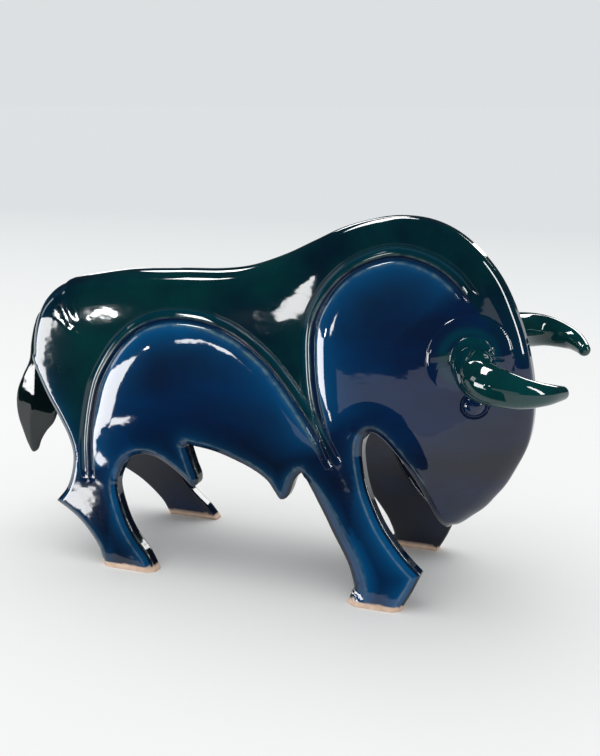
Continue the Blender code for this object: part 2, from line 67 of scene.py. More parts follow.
SPIKE = [(64, 105, 0, 1), (67, 98, 0, 1), (71, 89, 0, 1), (75, 81, 0, 1), (75, 75, 0, 1),
         (71, 72, 0, 1), (66, 75, 0, 1), (58, 81, 0, 1), (48, 87, 0, 1), (37, 92, 0, 1), (26, 93, 0, 1),
         (16, 90, 0, 1), (9, 84, 0, 1), (5, 76, 0, 1), (3, 67, 0, 1), (5, 58, 0, 1), (9, 48, 0, 1),
         (14, 38, 0, 1), (20, 29, 0, 1), (27, 21, 0, 1), (34, 14, 0, 1), (39, 7, 0, 1), (43, 0, 0, 1)]
HIND_SOLE = [(43, 0, 0, 1), (-5, 0, 0, 1)]
FINE = 0.0018      # step along the edges and the grooves


def place(points):
    """Outline points in metres, with the bull's middle at x = 0; other columns stay as they are."""
    p = np.array(points, float)
    p[:, 0] -= MIDDLE_X
    p[:, :2] /= 1000.0
    return p


def curve(points, step, closed=False):
    """Points about one step apart along a smooth curve through the given ones."""
    p = np.array(points, float)
    ends = (p[-1:], p[:2]) if closed else (2 * p[:1] - p[1:2], 2 * p[-1:] - p[-2:-1])
    p = np.vstack([ends[0], p, ends[1]])
    found = []
    for a, b, c, d in zip(p[:-3], p[1:-2], p[2:-1], p[3:]):
        count = max(1, round(np.linalg.norm(c[:2] - b[:2]) / step))
        t = np.arange(count)[:, None] / count
        ab, bc, cd = (max(np.linalg.norm(v), 1e-9) ** 0.5 for v in (b - a, c - b, d - c))
        leave = bc * ((b - a) / ab - (c - a) / (ab + bc) + (c - b) / bc)
        arrive = bc * ((c - b) / bc - (d - b) / (bc + cd) + (d - c) / cd)
        found.append((2 * t**3 - 3 * t**2 + 1) * b + (t**3 - 2 * t**2 + t) * leave
                     + (3 * t**2 - 2 * t**3) * c + (t**3 - t**2) * arrive)
    if not closed:
        found.append(p[-2:-1])
    return np.vstack(found)


edge = np.vstack([curve(place(stretch), FINE)[:-1] for stretch in
                  (HIND_FOOT_REAR, REAR, FRONT_TOE, FRONT_SOLE, BELLY, SPIKE, HIND_SOLE)])
closed_edge = np.vstack([edge, edge[:1]])
outer_edge = np.vstack([curve(place(s), FINE) for s in (HIND_FOOT_REAR, REAR, FRONT_TOE)])
inner_edge = np.vstack([curve(place(s), FINE) for s in (BELLY, SPIKE)])


# The carving: a wide and a narrow channel are cut side by side round the haunch and round the
# shoulder with a loop tool, and meet above the front leg. The clay inside them swells a little,
# a disc carries each horn, and each eye is a pressed-on ball in a sunk ring.
FOOT_SPREAD = 0.1376
WALL = 0.014
LEAN = 0.20
BROW_HALF = 0.012
BOW_DEPTH = 0.110
RIDGE_HALF = 0.0040
RIDGE_ROUND = 0.012
EDGE_BEVEL = 0.0055
EDGE_DROP = 0.0045
GROOVE_WIDE = 0.0068
GROOVE_NARROW = 0.0046
GROOVE_RIB = 0.0016
GROOVE_DEPTH = 0.0026
GROOVE_RUN_OUT = 0.007
LOBE_RISE = 0.0022
LOBE_ROUND = 0.009
HAUNCH_SWELL = (0.0026, 0.016)
SHOULDER_SWELL = (0.0012, 0.009)
HAUNCH_FRONT = (25, 80)
SHOULDER_FRONT = (175, 215)
BROW_RADIUS = 0.030
BROW_RISE = 0.0048
EYE_RADIUS = 0.0080
EYE_RISE = 0.0072
EYE_RING = 0.0024
EYE_RING_DEPTH = 0.0014
HAUNCH_RIB = [(-22, 69), (-25, 100), (-23, 130), (-19, 149), (-12, 164), (-2, 179), (13, 193),
              (30, 201), (50, 204), (70, 203), (88, 199), (105, 192), (128, 177), (141, 165),
              (155, 150), (169, 133), (181, 116), (190, 102)]
SHOULDER_RIB = [(190, 103), (180, 122), (172, 143), (167, 162), (164, 182), (163, 199), (165, 213),
                (172, 228), (183, 242), (196, 252), (210, 258), (224, 261), (240, 259), (256, 253),
                (270, 243), (282, 229)]
VALLEY = [(198, 86), (206, 68), (216, 45), (228, 15)]
BULGES = [(200, 150, 80, 80, 0.0040)]
BULGE_FADE = 0.020
BACK_ROUND = 0.0036
BACK_REACH = 0.062
BODY_TO_HUMP = (120, 190)
LEG_TO_LOBE = (75, 135)
HAUNCH_TO_HEAD = (190, 220)
BARREL_TO_SHOULDER = (150, 170)
SHOULDER_TO_BROW = (242, 292)
BROW = (284, 190)
EYE = (290, 155)
HEAD_MIDDLE = (230, 160)
HEAD_REACH = 0.100
HEAD_HEIGHT = 0.125
NOTCH = (212, 128)
NOTCH_LINE = (258, 40)
BEVEL_SOFT = 0.22
COARSE = 0.0030    # facets of the open surfaces
GRID_ROW = 0.87        # rows of a triangular grid, as a share of its step
SPACING = 0.6          # how close two new points may come, as a share of the gap kept to the others
LATEST = 40            # how many of the latest points are looked at for that
AT_ONCE = 2000         # points worked on together
SNAP = 1e-7            # points closer than this count as one where triangles are laid

# Rows of points that carry the carving, as shares of the bevel, the channels, the disc and the eye
EDGE_ROWS = (0.04, 0.12, 0.25, 0.42, 0.6, 0.8, 0.93, 1.04, 1.25)
WIDE_ROWS = (0.06, 0.2, 0.38, 0.6, 0.8, 0.94, 1.0, 1.12, 1.4)
NARROW_ROWS = (0.08, 0.25, 0.5, 0.75, 0.92, 1.0, 1.15, 1.45, 2.0, 2.8)
DISC_ROWS = (0.8, 0.88, 0.94, 0.975, 0.995, 1.01, 1.05)
EYE_ROWS = (0, 0.25, 0.5, 0.7, 0.84, 0.93, 0.98, 1.0)
EYE_RING_ROWS = (0.25, 0.5, 0.75, 1.0, 1.3)
DISC_POINTS = 110
EYE_POINTS = 44
TRIAL_STEP = 0.0003                    # finds which side of the edge is the inside
CLOSE_TO_EDGE = 0.00035                # closest points on such rows; twice that further in
CLOSE_TO_GROOVE = 0.00035
CLOSE_TO_DISC = 0.0003
GRID_CLEAR = 0.62                      # gap of the open surface's grid, in coarse steps


def nearest(points, line):
    """Distance of each point to a line, the side it is on, the way along, and the line's values."""
    points = np.atleast_2d(points)[:, :2]
    a = line[:-1, :2]
    along = line[1:, :2] - a
    size = np.maximum((along**2).sum(1), 1e-16)
    way = np.concatenate([[0.0], np.cumsum(np.sqrt(size))])
    found = []
    for part in np.array_split(points, len(points) // AT_ONCE + 1):
        off = part[:, None] - a[None]
        t = np.clip((off * along).sum(2) / size, 0, 1)
        gap = off - t[..., None] * along
        best = (gap**2).sum(2).argmin(1)
        row = np.arange(len(part))
        t = t[row, best]
        gap = gap[row, best]
        side = np.sign(along[best, 0] * gap[:, 1] - along[best, 1] * gap[:, 0])
        values = line[best, 2:] * (1 - t[:, None]) + line[best + 1, 2:] * t[:, None]
        run = way[best] + t * (way[best + 1] - way[best])
        found.append(np.column_stack([np.hypot(gap[:, 0], gap[:, 1]), side, run, values]))
    return np.vstack(found)


def inside(points, ring):
    """Which points lie within a closed outline."""
    found = []
    a, b = ring[:, :2], np.roll(ring[:, :2], -1, axis=0)
    height = np.where(b[:, 1] == a[:, 1], 1e-12, b[:, 1] - a[:, 1])
    for part in np.array_split(points, len(points) // AT_ONCE + 1):
        x, z = part[:, :1], part[:, 1:2]
        spans = (a[:, 1] > z) != (b[:, 1] > z)
        cross = a[:, 0] + (z - a[:, 1]) / height * (b[:, 0] - a[:, 0])
        found.append((spans & (x < cross)).sum(1) % 2 == 1)
    return np.concatenate(found)


def ease(t):
    """A smooth step from 0 to 1."""
    t = np.clip(t, 0, 1)
    return t * t * (3 - 2 * t)


def ramp(value, ends):
    """A smooth step that rises from the first of two values to the second."""
    return ease((value - ends[0]) / (ends[1] - ends[0]))


def shift(line, offset):
    """A line moved sideways, to its left if offset is positive."""
    way = np.gradient(line[:, :2], axis=0)
    way /= np.maximum(np.linalg.norm(way, axis=1, keepdims=True), 1e-12)
    return line[:, :2] + np.column_stack([-way[:, 1], way[:, 0]]) * np.reshape(offset, (-1, 1))


def worked_edge(points):
    """Distance to the nearest edge that isn't a sole, and its values there."""
    outer, inner = nearest(points, outer_edge), nearest(points, inner_edge)
    return np.where(outer[:, :1] < inner[:, :1], outer, inner)


def bevel(t):
    """A flat bevel with a softened start, 0 to 1."""
    t = np.clip(t, 0, 1)
    start = t * t / (2 * BEVEL_SOFT)
    return np.where(t < BEVEL_SOFT, start, t - BEVEL_SOFT / 2) / (1 - BEVEL_SOFT / 2)


def quarter(t):
    """A quarter round, 0 to 1."""
    return 1 - np.sqrt(1 - np.clip(t, 0, 1) ** 2)


def flank(x, z):
    """Half width of the leaning flank, drawn in towards the front ridge of the head."""
    wide = FOOT_SPREAD / 2 - LEAN * z
    middle, notch, chin = place([HEAD_MIDDLE, NOTCH, NOTCH_LINE])
    rise = np.clip((z - middle[1]) / HEAD_HEIGHT, -1, 1)
    front = middle[0] + HEAD_REACH * np.sqrt(1 - rise**2)
    back = np.clip((front - x) / BOW_DEPTH, 0, 1)
    side = (chin[0] - notch[0]) * (z - notch[1]) - (chin[1] - notch[1]) * (x - notch[0])
    back = np.where((z < notch[1]) & (side < 0), 1.0, back)
    brow = np.minimum(wide, BROW_HALF)
    return brow + (wide - brow) * np.sin(math.pi / 2 * back)


def channels(points, rib, valley):
    """Depth carved by the channels along a rib, the rise of the lobe, and the way inside its valley."""
    gap, side, run = nearest(points, rib).T[:3]
    end = nearest(rib[-1:], rib)[0, 2]
    side_gap = gap * side
    live = ease(np.minimum(run, end - run) / GROOVE_RUN_OUT)
    outer = (side_gap - GROOVE_RIB / 2 - GROOVE_WIDE / 2) / (GROOVE_WIDE / 2)
    inner = (-side_gap - GROOVE_RIB / 2 - GROOVE_NARROW / 2) / (GROOVE_NARROW / 2)
    depth = live * GROOVE_DEPTH * np.maximum(np.clip(1 - outer**2, 0, 1), np.clip(1 - inner**2, 0, 1))
    gap, side = nearest(points, valley).T[:2]
    within = np.maximum(-gap * side - GROOVE_RIB / 2 - GROOVE_NARROW, 0)
    return depth, LOBE_RISE * (1 - np.exp(-within / (LOBE_ROUND / 2))), within


haunch = curve(place(HAUNCH_RIB), FINE)
shoulder = curve(place(SHOULDER_RIB), FINE)
haunch_valley = curve(place(HAUNCH_RIB + VALLEY), FINE)
shoulder_valley = curve(place(VALLEY[::-1] + SHOULDER_RIB), FINE)


def relief(points):
    """Half width of the carved flank at each point of the side view."""
    x, z = points[:, 0], points[:, 1]
    plain = flank(x, z)
    gap, _, _, ridge, share = worked_edge(points).T
    y = plain.copy()
    fade = ease((gap - EDGE_BEVEL) / BULGE_FADE)
    for cx, cz, sx, sz, rise in BULGES:
        c = place([(cx, cz)])[0]
        r = ((x - c[0]) / (sx / 1000)) ** 2 + ((z - c[1]) / (sz / 1000)) ** 2
        y += rise * np.exp(-r) * fade
    mm_x, mm_z = x * 1000 + MIDDLE_X, z * 1000
    near_back = np.clip(1 - gap / BACK_REACH, 0, 1) * ridge * (1 - ramp(mm_x, BODY_TO_HUMP))
    y -= BACK_ROUND * near_back**2
    grow = ramp(mm_z, LEG_TO_LOBE)
    cut_a, rise_a, within_a = channels(points, haunch, haunch_valley)
    cut_b, rise_b, within_b = channels(points, shoulder, shoulder_valley)
    for (rise, reach), within, front in ((HAUNCH_SWELL, within_a, HAUNCH_FRONT),
                                         (SHOULDER_SWELL, within_b, SHOULDER_FRONT)):
        y += grow * rise * (1 - np.exp(-within / reach)) * (1 - ramp(mm_x, front))
    y += grow * rise_a * (1 - ramp(mm_x, HAUNCH_TO_HEAD))
    y += grow * rise_b * ramp(mm_x, BARREL_TO_SHOULDER) * (1 - ramp(mm_x, SHOULDER_TO_BROW))
    y -= np.maximum(cut_a, cut_b)
    brow, eye = place([BROW, EYE])
    r = np.hypot(x - brow[0], z - brow[1]) / BROW_RADIUS
    y += BROW_RISE * np.sqrt(np.clip(1 - r**2, 0, 1)) * ease((z - brow[1] + BROW_RADIUS) / BROW_RADIUS)
    r = np.hypot(x - eye[0], z - eye[1])
    y += EYE_RISE * np.sqrt(np.clip(1 - (r / EYE_RADIUS) ** 2, 0, 1))
    ring = (r - EYE_RADIUS) / EYE_RING
    y -= EYE_RING_DEPTH * np.where((ring > 0) & (ring < 1), np.sin(np.pi * np.clip(ring, 0, 1)), 0)
    y -= (1 - ridge) * EDGE_DROP * np.sqrt(share) * bevel(1 - gap / (EDGE_BEVEL * share))
    y -= ridge * np.maximum(plain - RIDGE_HALF, 0) * quarter(1 - gap / RIDGE_ROUND)
    return y


def keep_clear(points, taken, gap):
    """The points that stay a gap away from those taken already, and from each other."""
    tree = kdtree.KDTree(len(taken))
    for i, p in enumerate(taken):
        tree.insert((p[0], p[1], 0), i)
    tree.balance()
    free = [p for p in points if tree.find((p[0], p[1], 0))[2] > gap]
    kept = []
    for p in free:
        if all((p[0] - q[0]) ** 2 + (p[1] - q[1]) ** 2 > (SPACING * gap) ** 2 for q in kept[-LATEST:]):
            kept.append(p)
    return np.array(kept).reshape(-1, 2)


def grid(ring, step):
    """Points of a triangular grid within an outline."""
    low, high = ring[:, :2].min(0), ring[:, :2].max(0)
    rows = []
    for j, z in enumerate(np.arange(low[1], high[1], step * GRID_ROW)):
        x = np.arange(low[0] + step / 2 * (j % 2), high[0], step)
        rows.append(np.column_stack([x, np.full_like(x, z)]))
    points = np.vstack(rows)
    return points[inside(points, ring)]


def fill(ring, loose):
    """Triangles over a closed outline and the loose points in it; the outline's points come first."""
    points = np.vstack([ring[:, :2], loose])
    count = len(ring)
    made = delaunay_2d_cdt([Vector(p) for p in points], [], [list(range(count))], 1, SNAP, True)
    where = {}
    for new, old in enumerate(made[3]):
        for i in old:
            where[i] = new
    order = [where[i] for i in range(count)]
    taken = set(order)
    rest = [i for i in range(len(made[0])) if i not in taken]
    rank = {new: i for i, new in enumerate(order + rest)}
    flat = np.array([tuple(made[0][i]) for i in order + rest])
    faces = np.array([[rank[i] for i in face] for face in made[2]])
    return flat, faces[inside(flat[faces].mean(1), ring)].tolist()


def flank_points():
    """Loose points over a flank: along its edge, its channels, its brow and eye, and between them."""
    width = (1 - edge[:, 2]) * EDGE_BEVEL * edge[:, 3] + edge[:, 2] * RIDGE_ROUND
    trial = shift(edge[:3], TRIAL_STEP)[1:2]
    turn = 1 if inside(trial, edge)[0] else -1
    taken = edge[:, :2]
    for share in EDGE_ROWS:
        ring = shift(closed_edge, np.append(width, width[:1]) * share * turn)[:-1]
        true_gap = nearest(ring, closed_edge)[:, 0]
        ring = ring[(true_gap > 0.93 * share * width) & inside(ring, edge)]
        close = CLOSE_TO_EDGE if share < 0.3 else 2 * CLOSE_TO_EDGE
        taken = np.vstack([taken, keep_clear(ring, taken, close)])
    half = GROOVE_RIB / 2
    rows = [0.0, half] + [half + GROOVE_WIDE * s for s in WIDE_ROWS]
    rows += [-half] + [-half - GROOVE_NARROW * s for s in NARROW_ROWS]
    for rib in (haunch, shoulder):
        for offset in rows:
            row = shift(rib, offset)
            taken = np.vstack([taken, keep_clear(row[inside(row, edge)], taken, CLOSE_TO_GROOVE)])
    brow, eye = place([BROW, EYE])
    rings = [(brow, BROW_RADIUS * s, DISC_POINTS) for s in DISC_ROWS]
    rings += [(eye, EYE_RADIUS * s, EYE_POINTS) for s in EYE_ROWS]
    rings += [(eye, EYE_RADIUS + EYE_RING * s, EYE_POINTS) for s in EYE_RING_ROWS]
    for c, radius, count in rings:
        turns = np.arange(count if radius else 1) / count * 2 * np.pi
        ring = c + radius * np.column_stack([np.cos(turns), np.sin(turns)])
        taken = np.vstack([taken, keep_clear(ring[inside(ring, edge)], taken, CLOSE_TO_DISC)])
    spread = keep_clear(grid(edge, COARSE), taken, GRID_CLEAR * COARSE)
    return np.vstack([taken, spread])[len(edge):]


flat, faces = fill(edge, flank_points())
points = [(x, -y, z) for (x, z), y in zip(flat, relief(flat))]


# The hollow between the legs: the inside of each leg and flank is smoothed flat, and a low vault
# closes the space under the body from behind the hind legs to the throat.
INNER_ROUND = 0.0020
VAULT = 0.010
ROOF = [(212, 128), (196, 122), (165, 118), (115, 118), (65, 115), (20, 112), (-20, 108), (-46, 101)]
VAULT_ROWS = (0.03, 0.1, 0.25, 0.5, 0.75, 1.0)      # rows of points, as shares of the vault
INNER_ROWS = (0.1, 0.3, 0.6, 1.0, 1.5)              # and of the inside rounding
WALL_ROWS = (0.06, 0.2, 0.5, 0.8, 0.94)             # and across the thickness of a leg
CLOSE_TO_ROOF = 0.0003
CLOSE_TO_INSIDE = 0.00018
INNER_GRID = (1.3, 0.8)                             # step and gap of the inside's grid, in coarse steps
WELD = 1e-6


def solid(name, points, faces):
    """A closed mesh object from points and faces, with its doubles merged."""
    mesh = bpy.data.meshes.new(name)
    mesh.from_pydata([tuple(p) for p in points], [], faces)
    shape = bmesh.new()
    shape.from_mesh(mesh)
    bmesh.ops.remove_doubles(shape, verts=shape.verts, dist=WELD)
    bmesh.ops.triangulate(shape, faces=shape.faces)
    bmesh.ops.recalc_face_normals(shape, faces=shape.faces)
    shape.to_mesh(mesh)
    shape.free()
    thing = bpy.data.objects.new(name, mesh)
    bpy.context.scene.collection.objects.link(thing)
    return thing


start, stop = (int(np.hypot(*(edge[:, :2] - e).T).argmin()) for e in place([ROOF[0], ROOF[-1]]))
count = len(edge)
legs = [(start + i) % count for i in range((stop - start) % count + 1)]
way = place(ROOF)
way[0], way[-1] = edge[start, :2], edge[stop, :2]
roof = curve(way, FINE)
ring = np.vstack([edge[legs, :2], roof[-2:0:-1]])
taken = ring
for share in VAULT_ROWS:
    row = shift(roof, -share * VAULT)[1:-1]
    row = row[inside(row, ring)]
    taken = np.vstack([taken, keep_clear(row, taken, CLOSE_TO_ROOF)])
for share in INNER_ROWS:
    row = shift(edge[legs], -INNER_ROUND * share)
    row = row[inside(row, ring)]
    taken = np.vstack([taken, keep_clear(row, taken, CLOSE_TO_INSIDE)])
spread = keep_clear(grid(ring, INNER_GRID[0] * COARSE), taken, INNER_GRID[1] * COARSE)
inner_flat, inner_faces = fill(ring, np.vstack([taken[len(ring):], spread]))
gap = nearest(inner_flat, closed_edge)[:, 0]
under = nearest(inner_flat, roof)[:, 0]
vault = np.sqrt(1 - (1 - np.clip(under / VAULT, 0, 1)) ** 2)
inner_half = FOOT_SPREAD / 2 - LEAN * inner_flat[:, 1] - WALL
inner_half = (inner_half + INNER_ROUND * quarter(1 - gap / INNER_ROUND)) * vault
inner_half[len(legs) - 1:len(ring)] = 0.0
inner_half[0] = 0.0

base = len(points)
points += [(x, -y, z) for (x, z), y in zip(inner_flat, inner_half)]
faces = faces + [[base + i for i in face] for face in inner_faces]
across = {i: base + rank for rank, i in enumerate(legs)}
for i in range(count):
    if i not in across:
        across[i] = len(points)
        points.append((edge[i, 0], 0.0, edge[i, 1]))
bands = []
for share in WALL_ROWS:
    bands.append(len(points))
    for i in range(count):
        a, b = points[i], points[across[i]]
        points.append(tuple(a[k] + (b[k] - a[k]) * share for k in range(3)))
for i in range(count):
    j = (i + 1) % count
    near, far = [i] + [b + i for b in bands] + [across[i]], [j] + [b + j for b in bands] + [across[j]]
    faces += [[near[k], far[k], far[k + 1], near[k + 1]] for k in range(len(near) - 1)]
other = len(points)
points += [(x, -y, z) for x, y, z in points]
faces += [[other + i for i in reversed(face)] for face in faces]
bull = solid("bull_body", points, faces)


# The tail is a cut leaf of clay with a raised crease down its middle. It hangs behind the rump, and
# its upper end goes into the rump where it is luted on.
TAIL = [(-70, 196), (-86, 199), (-96, 193), (-102, 181), (-106, 166), (-109, 150), (-117, 135),
        (-123, 122), (-125, 110), (-124, 97), (-120, 84), (-116, 73), (-111, 65), (-106, 68),
        (-102, 77), (-96, 86), (-88, 95), (-83, 107), (-82, 121), (-86, 135), (-92, 147),
        (-90, 160), (-70, 170)]
TAIL_EDGE_HALF = 0.0018
TAIL_CREASE = 0.30
TAIL_ROUND = 0.002
TAIL_LEAST_HALF = 0.0003
TAIL_ROWS = (0.0003, 0.0009, 0.0018)     # rows of points, as distances from the edge
CLOSE_TO_LEAF = 0.0002
TAIL_GRID = (0.6, 0.35)                  # step and gap of the leaf's grid, in coarse steps

leaf = curve(place(TAIL), FINE, closed=True)
leaf_closed = np.vstack([leaf, leaf[:1]])
loose = leaf[:, :2]
for depth in TAIL_ROWS:
    row = shift(leaf_closed, depth)[:-1]
    row = row if inside(row[:1], leaf)[0] else shift(leaf_closed, -depth)[:-1]
    loose = np.vstack([loose, keep_clear(row[inside(row, leaf)], loose, CLOSE_TO_LEAF)])
loose = np.vstack([loose, keep_clear(grid(leaf, TAIL_GRID[0] * COARSE), loose, TAIL_GRID[1] * COARSE)])
flat, faces = fill(leaf, loose[len(leaf):])
gap = nearest(flat, leaf_closed)[:, 0]
half = TAIL_EDGE_HALF * np.sqrt(1 - (1 - np.clip(gap / TAIL_ROUND, 0, 1)) ** 2) + TAIL_CREASE * gap
half = np.maximum(half, TAIL_LEAST_HALF)
count = len(flat)
points = [(x, -y, z) for (x, z), y in zip(flat, half)] + [(x, y, z) for (x, z), y in zip(flat, half)]
faces = faces + [[count + i for i in reversed(face)] for face in faces]
faces += [[i, (i + 1) % len(leaf), count + (i + 1) % len(leaf), count + i] for i in range(len(leaf))]
tail = solid("bull_tail", points, faces)


# The horns are rolled clay, thick at the root and tapered, bent outwards and then forward before
# they are set into the brow discs.
HORN = [(283, -6, 190), (287, -30, 190), (291, -50, 191), (296, -67, 192), (303, -84, 190),
        (312, -94, 189), (322, -98, 188), (333, -97, 186), (345, -89, 184), (353, -76, 182),
        (356, -69, 181)]
HORN_RADIUS = 0.0155
HORN_TIP_RADIUS = 0.0050
HORN_TAPER = 1.9
HORN_SIDES = 40
HORN_TIP_TURNS = (15, 30, 45, 60, 75, 85)     # rings of points round the tip, in degrees


def roll_horn(side):
    """One horn; side is -1 for the right horn."""
    path = np.array(HORN, float)
    path[:, 0] -= MIDDLE_X
    path /= 1000.0
    path[:, 1] *= -side
    path = curve(path[:, [0, 2, 1]], FINE)[:, [0, 2, 1]]
    way = np.gradient(path, axis=0)
    way /= np.linalg.norm(way, axis=1, keepdims=True)
    share = np.linspace(0, 1, len(path))
    radii = HORN_TIP_RADIUS + (HORN_RADIUS - HORN_TIP_RADIUS) * (1 - share**HORN_TAPER)
    steps = np.radians(HORN_TIP_TURNS)
    tip = path[-1] + np.outer(np.sin(steps) * HORN_TIP_RADIUS, way[-1])
    path = np.vstack([path, tip])
    way = np.vstack([way, np.repeat(way[-1:], len(steps), axis=0)])
    radii = np.concatenate([radii, HORN_TIP_RADIUS * np.cos(steps)])
    points, faces = [], []
    for centre, along, radius in zip(path, way, radii):
        up = np.array([0, 0, 1.0]) - along[2] * along
        up /= np.linalg.norm(up)
        out = np.cross(along, up)
        for k in range(HORN_SIDES):
            turn = 2 * math.pi * k / HORN_SIDES
            points.append(centre + radius * (math.cos(turn) * up + math.sin(turn) * out))
    for i in range(len(path) - 1):
        for k in range(HORN_SIDES):
            a, b = i * HORN_SIDES + k, i * HORN_SIDES + (k + 1) % HORN_SIDES
            faces.append([a, b, b + HORN_SIDES, a + HORN_SIDES])
    faces.append(list(range(HORN_SIDES)))
    faces.append([(len(path) - 1) * HORN_SIDES + k for k in range(HORN_SIDES)])
    return solid("bull_horn", points, faces)


# Luting: the tail and the two horns are fused to the leather-hard body with slip, and the joint is
# smoothed over, so that the fired bull is one piece.
bpy.ops.object.select_all(action="DESELECT")
bpy.context.view_layer.objects.active = bull
bull.select_set(True)
for limb in (tail, roll_horn(-1), roll_horn(1)):
    fuse = bull.modifiers.new("fuse", "BOOLEAN")
    fuse.operation = "UNION"
    fuse.object = limb
    bpy.ops.object.modifier_apply(modifier=fuse.name)
    bpy.data.objects.remove(limb)
bpy.ops.object.shade_smooth()
bull.name = "bull_glazed"


# The glaze: a glossy blue and teal coat over the fired clay. It runs thinner and pale over sharp
# edges, pools green in the channels, is near black on the back, and stops short of the soles.
# Painted highlight lies as pale lines on the channel ribs and the bevels' inner edges, and painted
# shade as a darker blue near the rear edges, under the belly, on the bevel faces and low on the legs.
CLAY_BAND = 0.0045            # bare clay above the floor
CLAY_WANDER = 0.0002
CLAY_FADE = 0.0006
GLOW_REACH = 0.0055           # how far the bright blue reaches from an edge
LEG_GLOW_REACH = 0.0075
HAUNCH_GLOW_REACH = 0.017     # and inwards from the channels
SHOULDER_GLOW_REACH = 0.020
SHADE_REACH = 0.021            # how far the painted shade reaches from the rear edges
THIN_EDGE = 0.0007            # half widths of the pale lines: glaze running thinner, and painted highlights
THIN_RIB = 0.0008
THIN_RIM = 0.0010
RIM_PLACE = 0.0006            # where the pale rim lies, inwards from the narrow channel
CHANNEL_FADE = 0.020

mesh = bull.data
co = np.empty(len(mesh.vertices) * 3)
mesh.vertices.foreach_get("co", co)
co = co.reshape(-1, 3)
side_view = co[:, [0, 2]]
wide = np.abs(co[:, 1])
mm_x, mm_z = co[:, 0] * 1000 + MIDDLE_X, co[:, 2] * 1000
gap, _, _, ridge, share = worked_edge(side_view).T
gap_h, side_h, run_h = nearest(side_view, haunch).T[:3]
gap_s, side_s, run_s = nearest(side_view, shoulder).T[:3]
off_h, off_s = gap_h * side_h, gap_s * side_s
outer_gap, inner_gap = (nearest(side_view, line)[:, 0] for line in (outer_edge, inner_edge))
bevel_line = EDGE_BEVEL * share
outer_face = ease((wide - (FOOT_SPREAD / 2 - LEAN * co[:, 2] - WALL) - 0.002) / 0.003)
horn = ((wide - flank(co[:, 0], co[:, 2])) > 0.0065) & (mm_z > 165) & (mm_x > 262)
horn |= (mm_x > 331.5) & (mm_z > 160)
horn = horn.astype(float)
tail_zone = ((wide < 0.012) & (mm_x < -70) & (mm_z < 202) & ~inside(side_view, edge)).astype(float)
on_slab = (1 - horn) * (1 - tail_zone)
rim = GROOVE_RIB / 2 + GROOVE_NARROW


def band(distance, centre, width):
    """A soft band, 1 at its centre."""
    return np.exp(-((distance - centre) / width) ** 2)


def most(*shares):
    """The largest of several shares at each point."""
    return np.maximum.reduce(shares)


def live(rib, run, start, start_fade, stop):
    """Where along a rib the colours of its channels show, 0 to 1."""
    end = nearest(rib[-1:], rib)[0, 2] - stop
    return ease((run - start) / start_fade) * ease((end - run) / CHANNEL_FADE)


def lobe_glow(off, reach):
    """Bright blue that fades inwards from a narrow channel."""
    return np.exp(-np.maximum(-off - rim, 0) / reach) * (off < -0.5 * rim)


live_h = live(haunch, run_h, 0.004, 0.010, 0.010)
live_s = live(shoulder, run_s, 0.020, 0.020, 0.003)
above = (off_h > 0) & (off_s > 0) & (mm_z > 95)
back_zone = above & ~((mm_x > 190) & (mm_z < 165))
crest = ramp(mm_x, (255, 300)) * (1 - ramp(mm_z, (200, 250)))
dark = np.where(back_zone, 1 - 0.65 * crest, 0.0)

hind_leg = (mm_x > 0) & (mm_x < 60) & (mm_z < 80)
on_leg = ((mm_x > 205) & (inner_gap > 0.012)) | hind_leg
reach = np.where(on_leg, LEG_GLOW_REACH, GLOW_REACH)
glow = np.exp(-np.maximum(gap - bevel_line, 0) / reach) * (gap > 0.3 * bevel_line)
glow *= (1 - ridge) * outer_face * np.where(on_leg, 1.0, 0.55)
(notch_x, notch_z), (chin_x, chin_z) = NOTCH, NOTCH_LINE
past_arch = (chin_x - notch_x) * (mm_z - notch_z) - (chin_z - notch_z) * (mm_x - notch_x) > 0
glow *= np.where((mm_x > 200) & (mm_x < 300) & (past_arch | (mm_z > notch_z)), 0.12, 1.0)
glow = most(glow, lobe_glow(off_h, HAUNCH_GLOW_REACH) * live_h,
            0.9 * lobe_glow(off_s, SHOULDER_GLOW_REACH) * live_s)

arris = flank(co[:, 0], co[:, 2]) - EDGE_DROP * np.sqrt(share) - wide
# Pale lines: the glaze runs thinner over the bevels' inner edges, the arrises and the lobes' rims; along
# the channel ribs, and partly on the bevel lines, the pale is painted highlight.
thin_glaze_and_highlight = most(0.7 * band(gap, bevel_line, THIN_EDGE) * (1 - ridge) * outer_face,
            0.8 * band(gap, 0, THIN_EDGE) * band(arris, 0, THIN_RIB) * (1 - ridge),
            band(-off_h, rim + RIM_PLACE, THIN_RIM) * live_h,
            0.8 * band(-off_s, rim + RIM_PLACE, THIN_RIM) * live_s,
            0.35 * band(off_h, 0, THIN_RIB) * live_h,
            0.5 * band(off_s, 0, THIN_RIB) * live_s)

brow = place([BROW])[0]
root = np.hypot(co[:, 0] - brow[0], co[:, 2] - brow[1])
wide_middle = GROOVE_RIB / 2 + GROOVE_WIDE / 2
pool = most(band(off_h, wide_middle, GROOVE_WIDE * 0.38) * live_h * (off_h > 0),
            band(off_s, wide_middle, GROOVE_WIDE * 0.38) * live_s * (off_s > 0),
            band(root, 0.0185, 0.0035) * (1 - horn) * (wide < 0.05))
narrow_middle = -GROOVE_RIB / 2 - GROOVE_NARROW / 2
narrow = most(band(off_h, narrow_middle, GROOVE_NARROW * 0.4) * live_h,
              band(off_s, narrow_middle, GROOVE_NARROW * 0.4) * live_s)
